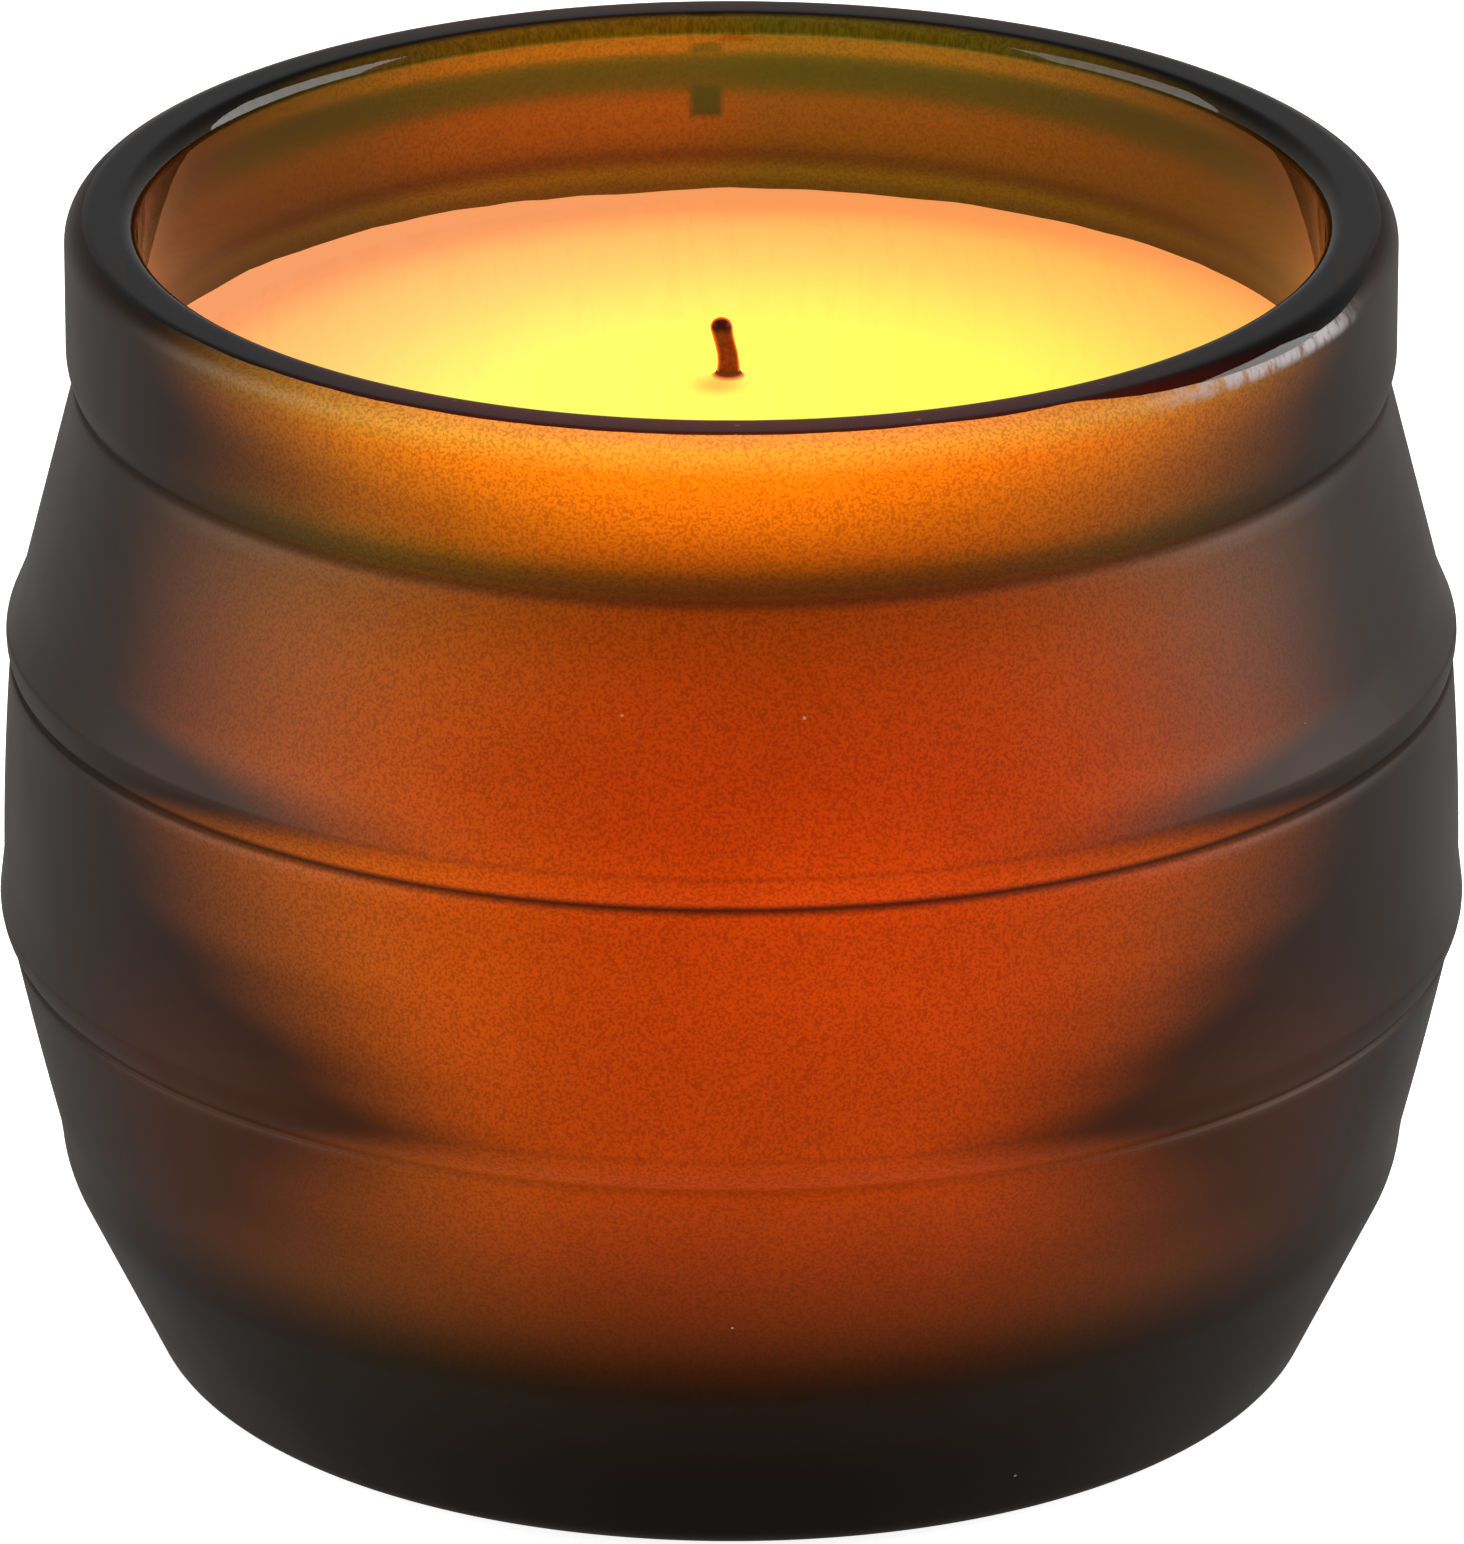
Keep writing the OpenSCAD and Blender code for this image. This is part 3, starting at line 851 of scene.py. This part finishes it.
def ruffle_coat(mesh, lip, glass):
    """Slides the coat's upper edge over the lip's outer corner: it runs low at the right."""
    lip_x, lip_z = lip
    quarter = math.pi / 2
    for vert in mesh.verts:
        reach = math.hypot(vert.co.x, vert.co.y)
        if reach < lip_x or vert.co.z < lip_z:
            continue
        side = math.atan2(vert.co.x, -vert.co.y)
        where = Vector((math.sin(side) * 9, math.cos(side) * 9, 0))
        edge = glass.coat_angle + math.radians(
            noise.noise(where) * 3.0 + noise.noise(where * 6) * 1.2)
        gap = (side - math.radians(54)) / math.radians(23)
        edge -= math.radians(42) * max(0, 1 - gap * gap)
        a = math.atan2(vert.co.z - lip_z, reach - lip_x)
        if a <= glass.coat_angle:
            a *= edge / glass.coat_angle
        else:
            a = quarter - (quarter - a) * (quarter - edge) / (quarter - glass.coat_angle)
        out = lip_x + glass.lip_out_r * math.cos(a)
        vert.co = (out * math.sin(side), -out * math.cos(side),
                   lip_z + glass.lip_out_r * math.sin(a))


def build_wax(glass, wax, aside):
    """The wax: poured to just under the collar, with a way left for the wick and its tab."""
    mesh = bmesh.new()
    segments = 192
    overlap = 0.05 * MM
    inside = Inside(glass)
    edge_z = FILL_Z + wax.climb
    edge_r = inside.cone_r(edge_z)

    # Over the top, from the wick out to the edge.
    sections = [(WICK_Y, WICK_R * 0.98, FILL_Z + wax.wick_climb)]
    for out, climb in ((0.05, 0.72), (0.11, 0.46), (0.20, 0.26), (0.34, 0.11), (0.6, 0.03)):
        sections.append((WICK_Y, WICK_R + out * MM, FILL_Z + wax.wick_climb * climb))
    for r in (2.2, 3.4, 5.2):
        sections.append((WICK_Y, r * MM, FILL_Z))
    steps = 13
    for step in range(1, steps + 1):
        part = step / steps
        r = 5.2 * MM + (edge_r - wax.climb - 5.2 * MM) * part
        sections.append((WICK_Y * (1 - part) ** 0.5 if part < 1 else 0, r, FILL_Z))
    sections += arc_rings(0, edge_r - wax.climb, FILL_Z + wax.climb, wax.climb, -90, -6, 7)
    sections.append((0, edge_r + overlap, edge_z))

    # Down the glass.
    for part in (0.25, 0.5, 0.75, 1):
        z = edge_z + (inside.barrel_top[1] - edge_z) * part
        sections.append((0, inside.cone_r(z) + overlap, z))
    flare = math.degrees(inside.flare)
    taper = math.degrees(inside.taper)
    sections += arc_rings(0, *inside.barrel, inside.barrel_r + overlap, flare, -taper, 12)
    sections += arc_rings(0, *inside.corner, inside.corner_r + overlap, -taper, -90, 12)

    # Along the floor to the sticker, over the tab and up the wick.
    sections.append((WICK_Y * 0.5, 18 * MM, FLOOR_Z - overlap))
    sections.append((WICK_Y, TAB_R, FLOOR_Z - overlap))
    disc_top = STICKER_HIGH.z + 0.3 * MM
    flare_r = 3.4 * MM
    neck_r = WICK_R + 0.3 * MM
    for r, z in ((TAB_R, disc_top), (flare_r, disc_top), (neck_r, STICKER_HIGH.z + 1.8 * MM),
                 (neck_r, TAB_HIGH.z), (WICK_R, TAB_HIGH.z), (WICK_R, 40 * MM)):
        sections.append((WICK_Y, r, z))
    sections.append(sections[0])
    rings(mesh, sections, segments)
    bmesh.ops.remove_doubles(mesh, verts=mesh.verts, dist=0.002 * MM)
    waver(mesh, edge_r, inside.flare)
    # The wax climbs the wick where it stands, a little to the left.
    for vert in mesh.verts:
        if vert.co.z > FILL_Z - 0.01 * MM:
            reach = math.hypot(vert.co.x, vert.co.y - WICK_Y)
            vert.co.x -= aside * min(1, max(0, (5 * MM - reach) / (3.5 * MM)))
    return finish_piece(mesh, "wax_poured", [wax_material(wax)], "candle_wax", "wax_fill")


def waver(mesh, edge_r, flare):
    """Lets the wax's edge wander up and down the glass, most at the back left."""
    for vert in mesh.verts:
        out = math.hypot(vert.co.x, vert.co.y)
        if vert.co.z < FILL_Z - 0.01 * MM or out < edge_r - 3 * MM:
            continue
        side = math.atan2(vert.co.y, vert.co.x)
        where = Vector((math.cos(side) * 3.4, math.sin(side) * 3.4, 2.0))
        uneven = 0.5 + 0.5 * math.cos(side - math.radians(140))
        drop = (noise.noise(where) + 0.5 * noise.noise(where * 3.1)) * uneven * 0.5 * MM
        near = min(1, max(0, (out - (edge_r - 3 * MM)) / (3 * MM))) ** 2
        drop = max(-0.3 * MM, -abs(drop)) * near
        vert.co.z += drop
        grow = 1 - drop * math.tan(flare) / out * near
        vert.co.x *= grow
        vert.co.y *= grow


def build_wick(wick):
    """The wick: strands plaited round the paper core, and the waxed end over them."""
    mesh = bmesh.new()
    strand_r = 0.17 * MM
    way_r = WICK_R - strand_r - 0.06 * MM
    foot_z = WICK_LOW.z + strand_r
    end_z = WAX_HIGH.z - 0.5 * MM
    turns = (end_z - foot_z) / wick.pitch
    per_turn = 16
    steps = int(turns * per_turn)
    for hand in (1, -1):
        for index in range(wick.strands):
            old = set(mesh.verts)
            a = TAU * index / wick.strands
            spot = Vector((way_r * math.cos(a), WICK_Y + way_r * math.sin(a), foot_z))
            circle = bmesh.ops.create_circle(
                mesh, segments=6, radius=strand_r, cap_ends=True,
                matrix=Matrix.Translation(spot) @ Matrix.Rotation(a, 4, "Z")
                @ Matrix.Rotation(math.radians(90), 4, "X"),
            )
            faces = list({face for vert in circle["verts"] for face in vert.link_faces})
            bmesh.ops.spin(
                mesh, geom=faces, cent=(0, WICK_Y, 0), axis=(0, 0, hand),
                angle=TAU * steps / per_turn, steps=steps,
                dvec=(0, 0, (end_z - foot_z) / steps),
            )
            weave(mesh, [vert for vert in mesh.verts if vert not in old],
                  foot_z, hand, index, wick)
    waxed_end(mesh, end_z, wick)
    return finish_piece(
        mesh, "wick_plaited", [wick_material(wick)], "waxed_cotton", "wick_braid")


def weave(mesh, verts, foot_z, hand, index, wick):
    """Passes a strand over and under those that wind the other way."""
    for vert in verts:
        flat = Vector((vert.co.x, vert.co.y - WICK_Y, 0))
        climb = (vert.co.z - foot_z) / wick.pitch
        over = math.cos(TAU * climb * wick.strands + math.pi * index + (0 if hand > 0 else math.pi))
        flat *= 1 + 0.10 * over
        vert.co.x = flat.x
        vert.co.y = WICK_Y + flat.y


def waxed_end(mesh, start_z, wick):
    """The end that stands out of the wax: a sleeve of wax over the plait, with a full tip."""
    segments = 32
    top_z = WICK_HIGH.z
    tip_r = WICK_R * 0.97
    sections = [(WICK_Y, 0.55 * WICK_R, start_z), (WICK_Y, 0.93 * WICK_R, start_z + 0.05 * MM)]
    for part, r in ((0.0, 1.0), (0.07, 1.0), (0.14, 0.97), (0.25, 0.91), (0.4, 0.88),
                    (0.55, 0.87), (0.7, 0.90), (0.8, 0.94)):
        sections.append((WICK_Y, r * WICK_R, FILL_Z + part * (top_z - FILL_Z)))
    round_z = top_z - tip_r
    for a in (6, 20, 34, 48, 62, 76):
        rise = math.radians(a)
        sections.append((WICK_Y, tip_r * math.cos(rise), round_z + tip_r * math.sin(rise)))
    old = set(mesh.verts)
    rings(mesh, sections, segments)
    bmesh.ops.holes_fill(mesh, edges=[edge for edge in mesh.edges if edge.is_boundary], sides=0)
    for vert in mesh.verts:
        if vert in old:
            continue
        side = math.atan2(vert.co.y - WICK_Y, vert.co.x)
        climb = TAU * (vert.co.z - start_z) / wick.pitch * wick.strands
        plait = 0.022 * math.sin(side * wick.strands + climb) * math.sin(side * wick.strands - climb)
        vert.co.x *= 1 + plait
        vert.co.y = WICK_Y + (vert.co.y - WICK_Y) * (1 + plait)
        vert.co.x -= lean_left(vert.co.z, wick)


def lean_left(z, wick):
    """How far the end of the wick stands to the left of its foot, at a height."""
    rise = max(0, (z - FILL_Z) / (WICK_HIGH.z - FILL_Z))
    bend = min(1, max(0, (rise - 0.25) / 0.65))
    foot = min(1, max(0, 1 + (z - FILL_Z) / (2 * MM)))
    return wick.aside * foot + wick.lean * (3 * bend ** 2 - 2 * bend ** 3)


def build_core(wick):
    """The paper core, which leans with the wick and ends just under its tip."""
    mesh = bmesh.new()
    tip_z = WICK_HIGH.z - 0.15 * MM
    bottom_z = CORE_LOW.z
    steps = 60
    sections = [(WICK_Y, CORE_R, bottom_z + (tip_z - bottom_z) * step / steps)
                for step in range(steps + 1)]
    rings(mesh, sections, 24)
    bmesh.ops.holes_fill(mesh, edges=[edge for edge in mesh.edges if edge.is_boundary], sides=0)
    for vert in mesh.verts:
        vert.co.x -= lean_left(vert.co.z, wick)
    paper = plain_material("wick_paper", (0.78, 0.70, 0.56), (0.60, 0.50, 0.36), 900.0, 0.82)
    return finish_piece(mesh, "wick_core_paper", [paper], "wick_paper", "wick_core")


def dress_hidden():
    """Gives the tab and its sticker their finishes."""
    finishes = {
        "wick_sustainer": plain_material(
            "tinned_steel", (0.78, 0.77, 0.75), (0.55, 0.54, 0.53), 420.0, 0.30, 1.0, 0.008),
        "wick_sticker": plain_material(
            "adhesive_foam", (0.86, 0.86, 0.84), (0.70, 0.70, 0.68), 700.0, 0.88, 0.0, 0.05),
    }
    for name, material in finishes.items():
        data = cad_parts[name].data
        data.materials.clear()
        data.materials.append(material)


# ---------------------------------------------------------------- studio

# Each light's place, size, power in watts, and whether gloss mirrors it.
LIGHTS = {
    "top_light": ((0, 0.1, 1.6), (1.6, 1.6), 26, False),
    "left_light": ((-1.5, -0.10, 0.60), (1.3, 1.0), 7.5, True),
    "right_light": ((1.5, 0.20, 0.60), (1.3, 1.0), 12.5, True),
}
LIGHT_AIM = 0.04


def lay_floor(studio):
    """A pale floor, lit to near white, which the gloss of the jar doesn't pick up."""
    mesh = bmesh.new()
    bmesh.ops.create_circle(mesh, cap_ends=True, segments=96, radius=studio.floor_r)
    data = bpy.data.meshes.new("floor")
    mesh.to_mesh(data)
    mesh.free()
    floor = bpy.data.objects.new("floor", data)
    bpy.context.collection.objects.link(floor)
    material, tree, shader, place = new_material("pale_floor")
    cloud = add(tree, "ShaderNodeTexNoise", {"Vector": place, "Scale": 3.0})
    tree.links.new(mixed(tree, cloud.outputs["Fac"], (0.80, 0.80, 0.80), (0.84, 0.84, 0.84)),
                   shader.inputs["Base Color"])
    shader.inputs["Roughness"].default_value = 0.9
    shader.inputs["Specular IOR Level"].default_value = 0.0
    shader.inputs["Emission Color"].default_value = (1, 1, 1, 1)
    shader.inputs["Emission Strength"].default_value = 0.90
    data.materials.append(material)
    floor.visible_glossy = False
    floor.visible_transmission = False


def light_world():
    """Soft light from behind and from the sides, with the camera's side in the dark."""
    world = bpy.data.worlds.new("studio")
    bpy.context.scene.world = world
    world.use_nodes = True
    tree = world.node_tree
    tree.nodes.clear()
    axes = add(tree, "ShaderNodeSeparateXYZ", {
        "Vector": add(tree, "ShaderNodeTexCoord").outputs["Generated"]}).outputs
    tall = ramp(tree, fade(tree, axes["Z"], -1.0, 1.0), [
        (0.0, (0.16,) * 3 + (1,)),
        (0.12, (0.26,) * 3 + (1,)),
        (0.28, (0.41,) * 3 + (1,)),
        (0.46, (0.41,) * 3 + (1,)),
        (0.56, (0.29,) * 3 + (1,)),
        (0.72, (0.225,) * 3 + (1,)),
        (0.90, (0.08,) * 3 + (1,)),
        (1.0, (0.06,) * 3 + (1,)),
    ])
    behind = fade(tree, axes["Y"], -0.85, 0.10, 0.0, 1.0)
    below = fade(tree, axes["Z"], -0.50, -1.0, 0.0, 0.6)
    level = calc(tree, "MULTIPLY", tall, calc(tree, "MAXIMUM", behind, below))
    seen = add(tree, "ShaderNodeLightPath").outputs["Is Camera Ray"]
    level = calc(tree, "ADD", level, seen, clamp=True)
    glow = add(tree, "ShaderNodeBackground", {"Color": (1, 1, 1, 1), "Strength": level})
    add(tree, "ShaderNodeOutputWorld", {"Surface": glow.outputs["Background"]})


def hang_light(name, place, size, watts, glossy):
    """A soft rectangular light, aimed at the middle of the jar."""
    data = bpy.data.lights.new(name, "AREA")
    data.shape = "RECTANGLE"
    data.size, data.size_y = size
    data.energy = watts
    lamp = bpy.data.objects.new(name, data)
    lamp.location = place
    aim = Vector((0, 0, LIGHT_AIM)) - Vector(place)
    lamp.rotation_euler = aim.to_track_quat("-Z", "Y").to_euler()
    lamp.visible_glossy = glossy
    bpy.context.collection.objects.link(lamp)


def set_camera(studio):
    """A long lens, shifted a little to frame the jar, at the studio's elevation."""
    data = bpy.data.cameras.new("camera")
    camera = bpy.data.objects.new("camera", data)
    back = Vector((0, -math.cos(studio.elevation), math.sin(studio.elevation)))
    camera.location = Vector((0, 0, studio.aim)) + back * studio.distance
    camera.rotation_euler = (-back).to_track_quat("-Z", "Y").to_euler()
    data.lens = studio.lens
    data.shift_x = studio.shift_x
    data.shift_y = studio.shift_y
    data.clip_end = 30.0
    bpy.context.collection.objects.link(camera)
    bpy.context.scene.camera = camera
    bpy.context.scene.view_settings.view_transform = "Standard"


# ---------------------------------------------------------------- operators

class CANDLE_OT_stage(bpy.types.Operator):
    """Lays the floor, lights it and sets the camera"""
    bl_idname = "candle.stage"
    bl_label = "Lay the stage"

    def execute(self, context):
        studio = context.scene.candle_studio
        lay_floor(studio)
        light_world()
        for name, light in LIGHTS.items():
            hang_light(name, *light)
        set_camera(studio)
        return {"FINISHED"}


class CANDLE_OT_glass(bpy.types.Operator):
    """Blows the glass jar and frosts its outside"""
    bl_idname = "candle.glass"
    bl_label = "Blow the glass"

    def execute(self, context):
        build_glass(context.scene.candle_glass)
        return {"FINISHED"}


class CANDLE_OT_wax(bpy.types.Operator):
    """Pours the wax round the wick"""
    bl_idname = "candle.wax"
    bl_label = "Pour the wax"

    def execute(self, context):
        scene = context.scene
        build_wax(scene.candle_glass, scene.candle_wax, scene.candle_wick.aside)
        return {"FINISHED"}


class CANDLE_OT_wick(bpy.types.Operator):
    """Plaits the wick and finishes the parts at its foot"""
    bl_idname = "candle.wick"
    bl_label = "Plait the wick"

    def execute(self, context):
        build_wick(context.scene.candle_wick)
        build_core(context.scene.candle_wick)
        dress_hidden()
        return {"FINISHED"}


class CANDLE_PT_panel(bpy.types.Panel):
    bl_idname = "CANDLE_PT_panel"
    bl_label = "Candle"
    bl_space_type = "VIEW_3D"
    bl_region_type = "UI"
    bl_category = "Candle"

    def draw(self, context):
        for step in (CANDLE_OT_stage, CANDLE_OT_glass, CANDLE_OT_wax, CANDLE_OT_wick):
            self.layout.operator(step.bl_idname)
        for group in SETTINGS:
            box = self.layout.box()
            for setting in group.__annotations__:
                box.prop(getattr(context.scene, SETTINGS[group]), setting)


SETTINGS = {
    GlassSettings: "candle_glass",
    WaxSettings: "candle_wax",
    WickSettings: "candle_wick",
    StudioSettings: "candle_studio",
}
CLASSES = (*SETTINGS, CANDLE_OT_stage, CANDLE_OT_glass, CANDLE_OT_wax, CANDLE_OT_wick,
           CANDLE_PT_panel)


def register():
    for kind in CLASSES:
        bpy.utils.register_class(kind)
    for group, name in SETTINGS.items():
        setattr(bpy.types.Scene, name, bpy.props.PointerProperty(type=group))


def unregister():
    for name in SETTINGS.values():
        delattr(bpy.types.Scene, name)
    for kind in reversed(CLASSES):
        bpy.utils.unregister_class(kind)


def main():
    register()
    bpy.ops.candle.stage()
    bpy.ops.candle.glass()
    bpy.ops.candle.wax()
    bpy.ops.candle.wick()


if __name__ == "__main__":
    main()
